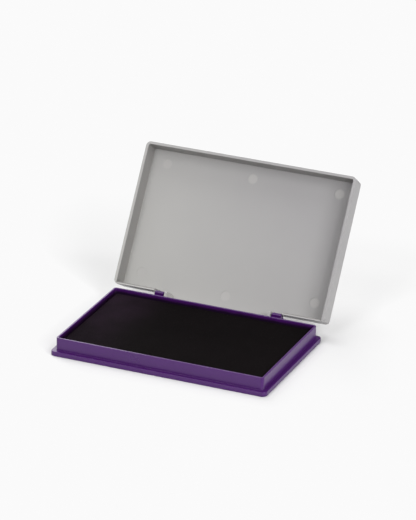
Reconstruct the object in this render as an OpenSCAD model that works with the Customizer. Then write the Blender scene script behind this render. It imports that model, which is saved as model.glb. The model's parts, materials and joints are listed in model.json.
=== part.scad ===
// Hinged ink pad: a shallow moulded tray with a stepped foot holds a cloth-covered felt pad,
// and a drafted lid swings on two ears at the back of the tray.
// Origin: centre of the tray's underside. X runs along the hinge, +Y to the back, +Z up.
// The lid is drawn fully open, which is how it rests.

/* [Pad] */
// Width of the inking surface, along the hinge
pad_w = 110; // [80:1:160]
// Depth of the inking surface
pad_d = 70; // [50:1:100]
// How far the pad lies below the tray's rim
pad_drop = 1.6; // [1:0.1:2.4]
// Gap between the pad and the tray's walls
pad_gap = 0.3; // [0.2:0.1:0.8]
// Thickness of the cloth
cloth_t = 0.5; // [0.3:0.1:0.8]
// Width of the cloth that is turned under the felt
hem_w = 8; // [4:1:15]

/* [Tray] */
// Height of the tray's rim above its underside
tray_h = 9.2; // [8.6:0.1:9.6]
// Thickness of the tray's walls
tray_wall = 1.1; // [0.9:0.1:1.4]
// Thickness of the tray's floor
floor_t = 1.6; // [1:0.1:2.2]
// Radius of the tray's outer corners
tray_corner = 1.6; // [1.5:0.1:3]
// How far the foot stands out from the walls, where the closed lid sits
foot_out = 2.2; // [2:0.1:2.6]
// Height of the foot
foot_h = 2.5; // [2.2:0.1:2.7]

/* [Lid] */
// Height of the lid over everything
lid_h = 11; // [10.8:0.1:12]
// Thickness of the lid's flat top
lid_top = 1.2; // [1:0.1:1.4]
// Thickness of the lid's walls at their free edge
lid_wall = 1.4; // [1:0.1:1.6]
// How far each lid wall leans in from its free edge to the top, so it leaves the mould
draft = 0.55; // [0.3:0.05:0.7]
// Radius of the lid's outer corners
lid_corner = 2.5; // [2:0.1:4]
// Gap between the closed lid's edge and the foot
seat_gap = 0.1; // [0.05:0.05:0.2]

/* [Hinge] */
// Angle the lid swings through, from closed to open
open_angle = 122; // [110:1:122]
// Distance of the hinge line behind the tray's rear wall
hinge_back = 4.6; // [4.6:0.1:4.8]
// Height of the hinge line above the underside
hinge_up = 6; // [5.9:0.1:6.2]
// Radius of the lid's hinge pins
pin_r = 1; // [0.8:0.05:1.2]
// Radial clearance of a pin in its ear
pin_play = 0.05; // [0.02:0.01:0.1]
// Radius of the round end of an ear
ear_r = 2.5; // [2.2:0.1:2.8]
// Width of an ear, along the hinge
ear_w = 5.2; // [4:0.1:7]
// Height of the ears above the underside
ear_h = 9.3; // [9:0.1:10]
// Gap between the foot and an ear's upright front face
ear_gap = 0.7; // [0.5:0.1:1]
// Distance from the middle to the inner face of an ear
ear_in = 29.9; // [25:0.1:35]

/* [Hidden] */

$fn = 64;
eps = 0.01;

// Tray
tray_w = pad_w + 2 * tray_wall;
tray_d = pad_d + 2 * tray_wall;
rear_wall = tray_d / 2;
foot_corner = tray_corner + 0.9;
foot_rear = rear_wall + foot_out;
// Height of the foot between the ears, where the lid's skirt swings over it
low_foot_h = 1.6;

// Pad
pad_top = tray_h - pad_drop;
cover_w = pad_w - 2 * pad_gap;
cover_d = pad_d - 2 * pad_gap;
cover_corner = tray_corner - 1;

// Lid, laid out closed: the free edge is at rim_z and the flat top ends at top_z
lid_w = tray_w + 2 * foot_out;
lid_d = tray_d + 2 * foot_out;
rim_z = foot_h + seat_gap;
top_z = rim_z + lid_h;
ceiling_z = top_z - lid_top;

// Hinge
hinge_y = rear_wall + hinge_back;
ear_out = ear_in + ear_w;
side_gap = 0.5;
lug_t = 1.2;
lug_out = ear_in - side_gap;
window_out = ear_out + side_gap;
ear_front = foot_rear + ear_gap;
ear_top_d = 2.4;
// Everything on the lid that swings past the tray's rear wall stays inside this radius
swing_r = hinge_back - 0.3;
skirt_t = 1.2;
skirt_back = hinge_y + 2.4;
heel_r = 0.8;
// A lug starts this far in front of the foot's rear face
lug_front = foot_rear - 0.8;
pin_len = ear_w + side_gap - 0.6;
pin_tip = 0.4;

// Round marks that the mould's ejector pins leave on the lid's ceiling
mark_r = 2.8;
mark_deep = 0.15;
mark_spots = [[-48, -29.5], [0, -29.5], [48, -29.5], [-48, 29], [0, 33], [48, 28]];

// A point at angle a on a circle of radius r about the hinge line
function around_hinge(r, a) = [hinge_y + r * cos(a), hinge_up + r * sin(a)];
// Angles at which the lines from point p touch an ear's round end
function touch_angle(p, side) =
    atan2(p[1] - hinge_up, p[0] - hinge_y)
    + side * acos(ear_r / norm([p[0] - hinge_y, p[1] - hinge_up]));

// Extrudes an outline given as (y, z) along X, from x to x + length
module along_x(x, length)
    translate([x, 0, 0])
        rotate([90, 0, 90])
            linear_extrude(length)
                children();

module both_sides() {
    children();
    mirror([1, 0, 0]) children();
}

module round_block(w, d, h, r) {
    linear_extrude(h) {
        square([w - 2 * r, d], center = true);
        square([w, d - 2 * r], center = true);
        for (x = [-1, 1], y = [-1, 1])
            translate([x * (w / 2 - r), y * (d / 2 - r)])
                circle(r);
    }
}

// A block whose four sides lean in by lean over its height h, with cones for its corners
module drafted_block(w, d, h, r, lean) {
    rotate([90, 0, 90])
        linear_extrude(w - 2 * r, center = true)
            leaning_outline(d, h, lean);
    rotate([90, 0, 0])
        linear_extrude(d - 2 * r, center = true)
            leaning_outline(w, h, lean);
    for (x = [-1, 1], y = [-1, 1])
        translate([x * (w / 2 - r), y * (d / 2 - r), 0])
            cylinder(h = h, r1 = r, r2 = r - lean);
}

module leaning_outline(w, h, lean)
    polygon([[-w / 2, 0], [w / 2, 0], [w / 2 - lean, h], [-w / 2 + lean, h]]);

// One ear in profile: a post on a tongue of the foot, round behind the hinge line
module ear_outline() {
    top_back = [ear_front + ear_top_d, ear_h];
    heel = [hinge_y + ear_r / 2, 0];
    polygon([
        [rear_wall, 0],
        [rear_wall, foot_h],
        [ear_front, foot_h],
        [ear_front, ear_h],
        top_back,
        around_hinge(ear_r, touch_angle(top_back, -1)),
        [hinge_y, hinge_up],
        around_hinge(ear_r, touch_angle(heel, 1)),
        heel
    ]);
    translate([hinge_y, hinge_up]) circle(ear_r);
}

module tray() {
    color("#4f2d6b")
    difference() {
        union() {
            round_block(tray_w + 2 * foot_out, tray_d + 2 * foot_out, foot_h, foot_corner);
            round_block(tray_w, tray_d, tray_h, tray_corner);
            both_sides() along_x(ear_in, ear_w) ear_outline();
        }
        translate([0, 0, floor_t])
            round_block(pad_w, pad_d, tray_h, tray_corner - tray_wall);
        // The foot is lower between the ears
        translate([-ear_in, rear_wall, low_foot_h])
            cube([2 * ear_in, foot_out + eps, foot_h]);
        // Bores for the lid's pins
        both_sides()
            translate([ear_in - eps, hinge_y, hinge_up])
                rotate([0, 90, 0])
                    cylinder(h = ear_w + 2 * eps, r = pin_r + pin_play);
    }
}

// The lid's spine between the ears: its top runs on over the hinge and a skirt hangs behind it
module spine_outline() {
    difference() {
        translate([foot_rear - lid_wall - draft, ceiling_z])
            square([skirt_back - foot_rear + lid_wall + draft, lid_top]);
        translate([skirt_back - heel_r, top_z - heel_r])
            square(heel_r + eps);
    }
    translate([skirt_back - skirt_t, rim_z])
        square([skirt_t, lid_h - heel_r]);
    translate([skirt_back - heel_r, top_z - heel_r])
        circle(heel_r);
}

// A lug that carries a pin: it hangs from the lid's top and is round below the hinge line
module lug_outline() {
    depth = skirt_back - skirt_t + eps - lug_front;
    translate([lug_front, hinge_up])
        square([depth, ceiling_z + eps - hinge_up]);
    intersection() {
        translate([hinge_y, hinge_up]) circle(swing_r);
        translate([lug_front, rim_z]) square([depth, lid_h / 2]);
    }
}

// What has to come off the rear wall's inner edge so that it swings clear of the tray
module swing_relief() {
    difference() {
        translate([rear_wall, rim_z - eps])
            square([foot_out - eps, hinge_up - rim_z]);
        translate([hinge_y, hinge_up]) circle(swing_r);
    }
}

module pin() {
    translate([lug_out - eps, hinge_y, hinge_up])
        rotate([0, 90, 0]) {
            cylinder(h = pin_len - pin_tip + eps, r = pin_r);
            translate([0, 0, pin_len - pin_tip])
                cylinder(h = pin_tip, r1 = pin_r, r2 = pin_r - pin_tip);
        }
}

module ejector_marks() {
    for (spot = mark_spots)
        translate([spot[0], spot[1], ceiling_z - eps])
            cylinder(h = mark_deep + eps, r = mark_r);
}

module closed_lid() {
    cavity_w = lid_w - 2 * lid_wall;
    cavity_d = lid_d - 2 * lid_wall;
    difference() {
        translate([0, 0, rim_z])
            drafted_block(lid_w, lid_d, lid_h, lid_corner, draft);
        translate([0, 0, rim_z])
            drafted_block(cavity_w, cavity_d, lid_h - lid_top, lid_corner - lid_wall, draft);
        // The rear wall is open from ear to ear
        translate([-window_out, rear_wall, rim_z - eps])
            cube([2 * window_out, foot_out + 1, lid_h - lid_top + eps]);
        along_x(-cavity_w / 2, cavity_w) swing_relief();
        ejector_marks();
    }
    along_x(-lug_out, 2 * lug_out) spine_outline();
    both_sides() {
        along_x(lug_out - lug_t, lug_t) lug_outline();
        pin();
    }
}

module lid() {
    color("#b3b1b0")
        translate([0, hinge_y, hinge_up])
            rotate([-open_angle, 0, 0])
                translate([0, -hinge_y, -hinge_up])
                    closed_lid();
}

module felt_core() {
    color("#2b2730")
        translate([0, 0, floor_t + cloth_t])
            round_block(cover_w - 2 * cloth_t, cover_d - 2 * cloth_t,
                        pad_top - floor_t - 2 * cloth_t, cover_corner - cloth_t / 2);
}

// The cloth wraps the felt and is turned under along all four edges
module cloth_cover() {
    color("#1a181b")
    difference() {
        translate([0, 0, floor_t])
            round_block(cover_w, cover_d, pad_top - floor_t, cover_corner);
        felt_core();
        translate([0, 0, floor_t - eps])
            linear_extrude(cloth_t + 2 * eps)
                square([cover_w - 2 * hem_w, cover_d - 2 * hem_w], center = true);
    }
}

tray();
lid();
felt_core();
cloth_cover();
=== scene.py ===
import json
import math

import bmesh
import bpy
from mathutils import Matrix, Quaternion, Vector


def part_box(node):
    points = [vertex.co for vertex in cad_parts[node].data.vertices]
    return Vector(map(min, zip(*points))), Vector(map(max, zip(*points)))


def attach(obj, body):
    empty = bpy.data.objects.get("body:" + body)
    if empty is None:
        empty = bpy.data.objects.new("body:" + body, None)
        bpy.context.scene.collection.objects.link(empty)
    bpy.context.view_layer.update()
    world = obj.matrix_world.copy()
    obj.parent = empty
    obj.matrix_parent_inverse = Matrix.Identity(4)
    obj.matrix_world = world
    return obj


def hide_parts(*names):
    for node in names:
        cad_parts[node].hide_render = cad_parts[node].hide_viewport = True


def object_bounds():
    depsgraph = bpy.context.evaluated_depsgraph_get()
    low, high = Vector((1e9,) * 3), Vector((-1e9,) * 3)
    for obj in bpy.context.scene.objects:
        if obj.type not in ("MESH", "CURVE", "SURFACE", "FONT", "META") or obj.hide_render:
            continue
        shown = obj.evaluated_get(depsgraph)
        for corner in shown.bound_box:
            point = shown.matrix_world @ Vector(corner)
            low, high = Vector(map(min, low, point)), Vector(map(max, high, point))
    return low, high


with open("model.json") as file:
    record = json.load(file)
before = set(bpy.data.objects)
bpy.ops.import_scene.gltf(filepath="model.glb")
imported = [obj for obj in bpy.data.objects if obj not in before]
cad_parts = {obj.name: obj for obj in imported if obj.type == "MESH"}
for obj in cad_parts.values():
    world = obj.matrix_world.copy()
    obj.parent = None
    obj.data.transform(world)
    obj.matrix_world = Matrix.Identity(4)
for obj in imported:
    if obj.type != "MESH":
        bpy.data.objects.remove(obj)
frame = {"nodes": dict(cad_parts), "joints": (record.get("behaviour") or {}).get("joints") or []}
cad_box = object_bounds()

# Camera: a long lens, far enough off to keep the pad's edges nearly parallel, looks down at the
# open pad from the front and a little round to the right. It aims just in front of the middle.
middle = (cad_box[0] + cad_box[1]) / 2
aim = middle + Vector((0.0023, -0.0056, 0.0038))
view_yaw, view_pitch, view_roll = (math.radians(angle) for angle in (22.30, 22.67, 1.50))
view_distance = 1.9546
eye = Vector((
    math.sin(view_yaw) * math.cos(view_pitch),
    -math.cos(view_yaw) * math.cos(view_pitch),
    math.sin(view_pitch),
))
bpy.ops.object.camera_add(location=aim + eye * view_distance)
camera = bpy.context.object
camera.name = "studio_camera"
camera.rotation_mode = "QUATERNION"
look = (-eye).to_track_quat("-Z", "Y")
look.rotate(Quaternion(eye, view_roll))
camera.rotation_quaternion = look
camera.data.lens = 268.57
camera.data.sensor_width = 36
camera.data.clip_end = 20
bpy.context.scene.camera = camera


# Studio: the pad stands on a wide sweep of matt white paper. Soft boxes light it from the front
# and right, and two large ones behind on the left give the thin shadows on the other side.
def linear(colour):
    """An sRGB hex colour as linear red, green, blue and alpha."""
    parts = [int(colour[i:i + 2], 16) / 255 for i in (1, 3, 5)]
    return (*(p / 12.92 if p <= 0.04045 else ((p + 0.055) / 1.055) ** 2.4 for p in parts), 1)


def add_node(material, kind, inputs=(), **settings):
    """Adds a node with its settings; each input is a plain value or another node's socket."""
    node = material.node_tree.nodes.new(kind)
    for name, value in settings.items():
        setattr(node, name, value)
    for socket, value in dict(inputs).items():
        if isinstance(value, bpy.types.NodeSocket):
            material.node_tree.links.new(value, node.inputs[socket])
        else:
            node.inputs[socket].default_value = value
    return node


def pattern_scale(millimetres):
    """The scale that makes a noise texture's blotches about this size on the surface."""
    return 1000 / millimetres


def new_material(name):
    """An empty material with an output node and the surface's own coordinates in metres."""
    material = bpy.data.materials.new(name)
    material.use_nodes = True
    material.node_tree.nodes.clear()
    output = add_node(material, "ShaderNodeOutputMaterial")
    return material, output, add_node(material, "ShaderNodeTexCoord").outputs["Object"]


bpy.ops.mesh.primitive_plane_add(size=8)
floor = bpy.context.object
floor.name = "paper_sweep"
paper, paper_output, _ = new_material("white_paper")
paper_shader = add_node(paper, "ShaderNodeBsdfPrincipled", {
    "Base Color": linear("#ededed"), "Roughness": 0.9, "Specular IOR Level": 0.2})
paper.node_tree.links.new(paper_shader.outputs[0], paper_output.inputs["Surface"])
floor.data.materials.append(paper)

world = bpy.data.worlds.new("studio_air")
bpy.context.scene.world = world
world.use_nodes = True
world.node_tree.nodes["Background"].inputs["Color"].default_value = (1, 1, 1, 1)
world.node_tree.nodes["Background"].inputs["Strength"].default_value = 0.15

# Each soft box: its name, azimuth and height angle as the camera's are, width in metres and power
box_distance = 1.4
soft_boxes = (
    ("front_right_box", 42, 24, 0.35, 4.1),
    ("right_low_box", 66, 24, 0.35, 4.4),
    ("right_box", 66, 44, 0.35, 1.8),
    ("right_high_box", 90, 56, 0.35, 2.8),
    ("front_box", -12, 38, 0.35, 4.2),
    ("front_left_box", -30, 56, 0.35, 1.8),
    ("back_left_box", -135, 58, 0.9, 10.8),
    ("back_left_low_box", -135, 20, 0.9, 7.6),
)
for name, azimuth, height, width, power in soft_boxes:
    turn, rise = math.radians(azimuth), math.radians(height)
    away = Vector((
        math.sin(turn) * math.cos(rise), -math.cos(turn) * math.cos(rise), math.sin(rise)))
    bpy.ops.object.light_add(type="AREA", location=middle + away * box_distance)
    box = bpy.context.object
    box.name = name
    box.rotation_mode = "QUATERNION"
    box.rotation_quaternion = away.to_track_quat("Z", "Y")
    box.data.shape = "SQUARE"
    box.data.size = width
    box.data.energy = power

# The view keeps the white paper just under pure white, with a short shoulder before it
shown = bpy.context.scene.view_settings
shown.view_transform = "Standard"
shown.look = "None"
shown.use_curve_mapping = True
shown.curve_mapping.extend = "HORIZONTAL"
tone = shown.curve_mapping.curves[3]
tone.points[-1].location = (1.0, 0.957)
tone.points.new(0.87, 0.87)
shown.curve_mapping.update()


# Tray: a shallow injection-moulded polystyrene dish with thin walls and a stepped foot, on
# which the closed lid sits. Two ears stand up from the foot behind it and carry the hinge.
def soften_edges(node, radius, least_angle, clamp):
    """Rounds the edges that turn more than least_angle, with modifiers that stay live."""
    weld = node.modifiers.new("weld", "WELD")
    weld.merge_threshold = 1e-6
    flat = node.modifiers.new("flat_faces", "DECIMATE")
    flat.decimate_type = "DISSOLVE"
    flat.angle_limit = math.radians(0.5)
    edge = node.modifiers.new("mould_radius", "BEVEL")
    edge.width = radius
    edge.segments = 2
    edge.limit_method = "ANGLE"
    edge.angle_limit = math.radians(least_angle)
    edge.use_clamp_overlap = clamp
    edge.harden_normals = True


def within(material, spot, reach):
    """A socket that is 1 nearer to the middle than reach, across and along, and 0 beyond."""
    near = []
    for way, limit in zip(("X", "Y"), reach):
        out = add_node(material, "ShaderNodeMath", {0: spot.outputs[way]}, operation="ABSOLUTE")
        near.append(add_node(material, "ShaderNodeMath", {
            0: out.outputs[0], 1: limit}, operation="LESS_THAN").outputs[0])
    return add_node(material, "ShaderNodeMath", {0: near[0], 1: near[1]},
                    operation="MULTIPLY").outputs[0]


tray = frame["nodes"]["tray"]
mould_radius = 0.00025
soften_edges(tray, mould_radius, least_angle=40, clamp=True)

# Smoothly finished mould steel gives the tray a soft sheen, with slow streaks where resin flowed
tray_finish, tray_output, place = new_material("moulded_polystyrene_purple")
flow = add_node(tray_finish, "ShaderNodeTexNoise", {
    "Vector": place, "Scale": pattern_scale(22), "Detail": 3})
resin = add_node(tray_finish, "ShaderNodeMix", {
    "Factor": flow.outputs["Fac"], "A": linear("#41145c"), "B": linear("#481764")},
    data_type="RGBA")

# Ink climbs up the inner faces of the walls from the pad and dries there, and the same dark
# colour is also painted shade low on the walls by the pad, so it is darkest towards the bottom
cloth_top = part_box("cloth_cover")[1]
wall_reach = 0.0004
rim_below_ears = 0.0001
rim_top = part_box("tray")[1].z - rim_below_ears
ripple = 0.0012
spot = add_node(tray_finish, "ShaderNodeSeparateXYZ", {"Vector": place})
inside = within(tray_finish, spot, [side + wall_reach for side in cloth_top.xy])
ragged_stain_and_shade = add_node(tray_finish, "ShaderNodeTexNoise", {
    "Vector": place, "Scale": pattern_scale(6), "Detail": 3})
height = add_node(tray_finish, "ShaderNodeMath", {
    0: ragged_stain_and_shade.outputs["Fac"], 1: -ripple, 2: spot.outputs["Z"]}, operation="MULTIPLY_ADD")
stain_and_shade_height = add_node(tray_finish, "ShaderNodeMapRange", {
    "Value": height.outputs[0], "From Min": rim_top - ripple, "From Max": cloth_top.z - ripple,
    "To Min": 0.0, "To Max": 0.9}, interpolation_type="SMOOTHSTEP")
ink_and_painted_shade = add_node(tray_finish, "ShaderNodeMath", {0: inside, 1: stain_and_shade_height.outputs[0]},
               operation="MULTIPLY")
# Dark ink stain and painted shade on the walls' inner faces, darkest by the pad
colour = add_node(tray_finish, "ShaderNodeMix", {
    "Factor": ink_and_painted_shade.outputs[0], "A": resin.outputs["Result"], "B": linear("#150c17")},
    data_type="RGBA")

# The steel's fine grain, drawn several times its real width so that it shows at all
mould_grain = pattern_scale(0.45)
grain = add_node(tray_finish, "ShaderNodeTexNoise", {
    "Vector": place, "Scale": mould_grain, "Detail": 2})
gloss = add_node(tray_finish, "ShaderNodeMapRange", {
    "Value": flow.outputs["Fac"], "To Min": 0.24, "To Max": 0.34})
relief = add_node(tray_finish, "ShaderNodeBump", {
    "Height": grain.outputs["Fac"], "Strength": 0.15, "Distance": 0.00004})
tray_shader = add_node(tray_finish, "ShaderNodeBsdfPrincipled", {
    "Base Color": colour.outputs["Result"], "Roughness": gloss.outputs["Result"],
    "Normal": relief.outputs["Normal"], "IOR": 1.55, "Specular IOR Level": 0.36})
tray_finish.node_tree.links.new(tray_shader.outputs[0], tray_output.inputs["Surface"])
tray.material_slots[0].material = tray_finish

# Felt core: a die-cut block of dense wool felt that holds the ink. It is pressed a little
# thinner along its edges by the cloth that is pulled tight round it.
felt_low, felt_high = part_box("felt_core")
# How much smaller the block starts, in height and at each side, to leave room for its swelling
swell = 0.00045
swell_side = 0.00015
# How far its edges are rounded off, and the size of its mesh for the cloth simulation
felt_round = 0.0007
voxel = 0.0012
bpy.ops.object.select_all(action="DESELECT")
bpy.ops.mesh.primitive_cube_add(
    size=1, location=(felt_low + felt_high) / 2 - Vector((0, 0, swell / 2)),
    scale=felt_high - felt_low - Vector((2 * swell_side, 2 * swell_side, swell)))
felt = bpy.context.object
felt.name = "felt_block"
bpy.ops.object.transform_apply(location=True, rotation=True, scale=True)
bpy.ops.object.mode_set(mode="EDIT")
bpy.ops.mesh.select_all(action="SELECT")
bpy.ops.mesh.bevel(offset=felt_round, segments=3)
bpy.ops.object.mode_set(mode="OBJECT")
felt.data.remesh_voxel_size = voxel
bpy.ops.object.voxel_remesh()

# Matted wool full of ink: it gives the eye a dull black nap with no shine
felt_finish, felt_output, place = new_material("inked_wool_felt")
fibre = add_node(felt_finish, "ShaderNodeTexNoise", {
    "Vector": place, "Scale": pattern_scale(0.7), "Detail": 6, "Roughness": 0.7})
colour = add_node(felt_finish, "ShaderNodeMix", {
    "Factor": fibre.outputs["Fac"], "A": linear("#120f14"), "B": linear("#2a2430")},
    data_type="RGBA")
relief = add_node(felt_finish, "ShaderNodeBump", {
    "Height": fibre.outputs["Fac"], "Strength": 0.8, "Distance": 0.0002})
felt_shader = add_node(felt_finish, "ShaderNodeBsdfPrincipled", {
    "Base Color": colour.outputs["Result"], "Roughness": 0.9, "Sheen Weight": 0.2,
    "Normal": relief.outputs["Normal"]})
felt_finish.node_tree.links.new(felt_shader.outputs[0], felt_output.inputs["Surface"])
felt.data.materials.append(felt_finish)


def puff(piece, most):
    """Lets a pad swell under Blender's cloth, with no point moving further than most."""
    start = [v.co.copy() for v in piece.data.vertices]
    cloth = piece.modifiers.new("swelling", "CLOTH")
    cloth.settings.quality = 4
    cloth.settings.use_pressure = True
    cloth.settings.uniform_pressure_force = 0.6
    cloth.settings.effector_weights.gravity = 0
    cloth.point_cache.frame_end = 20
    for step in range(1, 21):
        bpy.context.scene.frame_set(step)
    swollen = piece.evaluated_get(bpy.context.evaluated_depsgraph_get()).data
    after = [v.co.copy() for v in swollen.vertices]
    piece.modifiers.remove(cloth)
    bpy.context.scene.frame_set(1)
    for v, a, b in zip(piece.data.vertices, start, after):
        move = b - a
        v.co = a + move * min(1, most / max(move.length, 1e-9))


puff(felt, swell)
for v in felt.data.vertices:
    v.co = [min(max(c, low), high) for c, low, high in zip(v.co, felt_low, felt_high)]
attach(felt, "base")
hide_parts("felt_core")

# Cloth cover: one rectangle of closely woven cotton, pulled over the felt with its edges
# turned under as a hem, and soaked with the same ink.
cloth_low, cloth_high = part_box("cloth_cover")
cloth_thick = felt_low.z - cloth_low.z
hem = 0.008
bpy.ops.object.select_all(action="DESELECT")
felt.select_set(True)
bpy.context.view_layer.objects.active = felt
bpy.ops.object.duplicate()
cover = bpy.context.object
cover.name = "inked_cotton_cover"
for mark in [key for key in cover.keys() if key.startswith("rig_")]:
    del cover[mark]
cover.parent = None
bpy.ops.object.mode_set(mode="EDIT")
bpy.ops.mesh.select_all(action="DESELECT")
# The underside stays open inside the hem
shape = bmesh.from_edit_mesh(cover.data)
for face in shape.faces:
    centre = face.calc_center_median()
    from_edge = min(centre.x - felt_low.x, felt_high.x - centre.x,
                    centre.y - felt_low.y, felt_high.y - centre.y)
    face.select_set(face.normal.z < -0.9 and from_edge > hem)
bmesh.update_edit_mesh(cover.data)
bpy.ops.mesh.delete(type="FACE")
bpy.ops.object.mode_set(mode="OBJECT")
# Felt and cloth are made finer in the same way, so that they still lie on each other
for piece in (felt, cover):
    piece.select_set(True)
    bpy.context.view_layer.objects.active = piece
    finer = piece.modifiers.new("finer", "SUBSURF")
    finer.levels = finer.render_levels = 1
    bpy.ops.object.modifier_apply(modifier=finer.name)
    bpy.ops.object.shade_smooth()
wrap = cover.modifiers.new("cloth_thickness", "SOLIDIFY")
wrap.thickness = cloth_thick
wrap.offset = 1
bpy.ops.object.modifier_apply(modifier=wrap.name)

# Ink fills the plain weave, so it gives the eye a matt black with only the threads' crowns
# a shade paler. The threads are drawn twice as wide as the real 0.4 mm to stay visible.
cover_finish, cover_output, place = new_material("inked_woven_cotton")
thread_pitch = 0.0008
# A wave texture of scale 1 repeats every pi / 10
wave_scale = math.pi / 10 / thread_pitch
threads = [add_node(cover_finish, "ShaderNodeTexWave", {
    "Vector": place, "Scale": wave_scale}, bands_direction=way).outputs["Fac"]
    for way in ("X", "Y")]
weave = add_node(cover_finish, "ShaderNodeMath", {0: threads[0], 1: threads[1]},
                 operation="MULTIPLY")
damp_and_light_mottle = add_node(cover_finish, "ShaderNodeTexNoise", {
    "Vector": place, "Scale": pattern_scale(36), "Detail": 5, "Roughness": 0.65})
crowns = add_node(cover_finish, "ShaderNodeMath", {
    0: weave.outputs[0], 1: 0.6, 2: damp_and_light_mottle.outputs["Fac"]}, operation="MULTIPLY_ADD")
wet = add_node(cover_finish, "ShaderNodeMix", {
    "Factor": crowns.outputs[0], "A": linear("#060505"), "B": linear("#131011")},
    data_type="RGBA")

# Painted light: the left end is painted a paler, redder black in blotches, a painted pool of
# light and soft sheen on the pad
end = add_node(cover_finish, "ShaderNodeSeparateXYZ", {"Vector": place})
painted_light_left_end = add_node(cover_finish, "ShaderNodeMapRange", {
    "Value": end.outputs["X"], "From Min": -0.018, "From Max": -0.048},
    interpolation_type="SMOOTHSTEP")
painted_light_mottle = add_node(cover_finish, "ShaderNodeMapRange", {
    "Value": damp_and_light_mottle.outputs["Fac"], "From Min": 0.38, "From Max": 0.62,
    "To Min": 0.35, "To Max": 1.0})
painted_light_patch = add_node(cover_finish, "ShaderNodeMath", {0: painted_light_left_end.outputs[0], 1: painted_light_mottle.outputs[0]},
                operation="MULTIPLY")
# Painted light: the blotchy paler, redder patch at the left end
colour = add_node(cover_finish, "ShaderNodeMix", {
    "Factor": painted_light_patch.outputs[0], "A": wet.outputs["Result"], "B": linear("#201720")},
    data_type="RGBA")
gloss = add_node(cover_finish, "ShaderNodeMapRange", {
    "Value": damp_and_light_mottle.outputs["Fac"], "To Min": 0.7, "To Max": 0.9})
relief = add_node(cover_finish, "ShaderNodeBump", {
    "Height": weave.outputs[0], "Strength": 0.5, "Distance": 0.00015})
cover_shader = add_node(cover_finish, "ShaderNodeBsdfPrincipled", {
    "Base Color": colour.outputs["Result"], "Roughness": gloss.outputs["Result"],
    "Normal": relief.outputs["Normal"], "Specular IOR Level": 0.01})
cover_finish.node_tree.links.new(cover_shader.outputs[0], cover_output.inputs["Surface"])
cover.data.materials.clear()
cover.data.materials.append(cover_finish)
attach(cover, "base")
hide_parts("cloth_cover")

# Lid: a drafted polystyrene box, moulded in one piece with its hinge pins, which snap into
# the tray's ears. Round marks on its ceiling are where pins pushed it out of the mould.
lid = frame["nodes"]["lid"]
# Only the rim is rounded, whose edges turn a little over 90 degrees because the walls lean. With
# its other edges rounded too, the lid's faces would cross in many places. Very short edges by the
# hinge would shrink a clamped radius to a few microns, so it isn't clamped.
soften_edges(lid, mould_radius, least_angle=92, clamp=False)

# A finely eroded mould face leaves the lid satin, which gives the eye an even pale grey
lid_finish, lid_output, place = new_material("moulded_polystyrene_grey")

# Painted light: the lid is painted paler towards the corner by the left ear, where more light
# falls, with a slow wobble
flow = add_node(lid_finish, "ShaderNodeTexNoise", {
    "Vector": place, "Scale": pattern_scale(33), "Detail": 3})
spot = add_node(lid_finish, "ShaderNodeSeparateXYZ", {"Vector": place})
light_falloff_line = add_node(lid_finish, "ShaderNodeMath", {
    0: spot.outputs["Z"], 1: 1.1, 2: spot.outputs["X"]}, operation="MULTIPLY_ADD")
wavy_light_falloff = add_node(lid_finish, "ShaderNodeMath", {
    0: flow.outputs["Fac"], 1: 0.03, 2: light_falloff_line.outputs[0]}, operation="MULTIPLY_ADD")
painted_light_gradient = add_node(lid_finish, "ShaderNodeMapRange", {
    "Value": wavy_light_falloff.outputs[0], "From Min": 0.105, "From Max": -0.025})
# Painted light: the grey is painted paler towards the lower left
resin = add_node(lid_finish, "ShaderNodeMix", {
    "Factor": painted_light_gradient.outputs[0], "A": linear("#9f9d9e"), "B": linear("#b4b3b0")},
    data_type="RGBA")

# The rest of the lid's finish is laid out on the closed lid, as it lies in its mould
hinge, swing = (frame["joints"][0][key] for key in ("pos_m", "range_deg"))
closed = add_node(lid_finish, "ShaderNodeVectorRotate", {
    "Vector": place, "Center": hinge, "Angle": math.radians(swing[1])},
    rotation_type="X_AXIS").outputs["Vector"]
ceiling = 0.0124
rim = 0.0026
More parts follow.
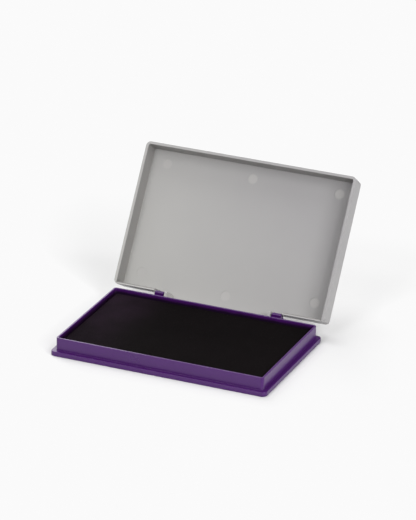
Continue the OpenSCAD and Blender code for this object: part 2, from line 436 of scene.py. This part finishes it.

# Painted shade: the inner faces of the lid's walls are painted a darker grey, where they lie in
# shade inside the lid. The painted shade stops at wall_line in from the lid's outside, which lies
# within the leaning walls.
spot = add_node(lid_finish, "ShaderNodeSeparateXYZ", {"Vector": closed})
wall_line = 0.0009
inside = within(lid_finish, spot, [-side - wall_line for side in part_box("tray")[0].xy])
below = add_node(lid_finish, "ShaderNodeMapRange", {
    "Value": spot.outputs["Z"], "From Min": ceiling, "From Max": ceiling - 0.0012},
    interpolation_type="SMOOTHSTEP")
above = add_node(lid_finish, "ShaderNodeMapRange", {
    "Value": spot.outputs["Z"], "From Min": rim + 0.0002, "From Max": rim + 0.0008,
    "To Max": 0.8})
shaded_wall_band = add_node(lid_finish, "ShaderNodeMath", {0: below.outputs[0], 1: above.outputs[0]},
                operation="MULTIPLY")
painted_wall_shade = add_node(lid_finish, "ShaderNodeMath", {0: shaded_wall_band.outputs[0], 1: inside},
                operation="MULTIPLY")
# Painted shade on the inner faces of the lid's walls
resin = add_node(lid_finish, "ShaderNodeMix", {
    "Factor": painted_wall_shade.outputs[0], "A": resin.outputs["Result"], "B": linear("#83817f")},
    data_type="RGBA")

# The ejector pins' ends are ground smooth, so their marks are paler and shinier discs
mark_radius = 0.0028
marks = 0.0
for across, depth in ((-48, -29.5), (0, -29.5), (48, -29.5), (-48, 29), (0, 33), (48, 28)):
    away = add_node(lid_finish, "ShaderNodeVectorMath", {
        0: closed, 1: (across / 1000, depth / 1000, ceiling)}, operation="DISTANCE")
    disc = add_node(lid_finish, "ShaderNodeMapRange", {
        "Value": away.outputs["Value"], "From Min": mark_radius + 0.0002,
        "From Max": mark_radius - 0.0009, "To Max": 0.7}, interpolation_type="SMOOTHSTEP")
    marks = add_node(lid_finish, "ShaderNodeMath", {0: marks, 1: disc.outputs[0]},
                     operation="ADD").outputs[0]
underneath = add_node(lid_finish, "ShaderNodeMath", {
    0: spot.outputs["Z"], 1: ceiling + 0.0005}, operation="LESS_THAN")
marks = add_node(lid_finish, "ShaderNodeMath", {0: marks, 1: underneath.outputs[0]},
                 operation="MULTIPLY").outputs[0]
colour = add_node(lid_finish, "ShaderNodeMix", {
    "Factor": marks, "A": resin.outputs["Result"], "B": linear("#b3b1af")},
    data_type="RGBA")
gloss = add_node(lid_finish, "ShaderNodeMapRange", {
    "Value": marks, "To Min": 0.5, "To Max": 0.36})
grain = add_node(lid_finish, "ShaderNodeTexNoise", {
    "Vector": place, "Scale": mould_grain, "Detail": 2})
relief = add_node(lid_finish, "ShaderNodeBump", {
    "Height": grain.outputs["Fac"], "Strength": 0.15, "Distance": 0.00004})
lid_shader = add_node(lid_finish, "ShaderNodeBsdfPrincipled", {
    "Base Color": colour.outputs["Result"], "Roughness": gloss.outputs["Result"],
    "Normal": relief.outputs["Normal"], "IOR": 1.55, "Specular IOR Level": 0.25})
lid_finish.node_tree.links.new(lid_shader.outputs[0], lid_output.inputs["Surface"])
lid.material_slots[0].material = lid_finish
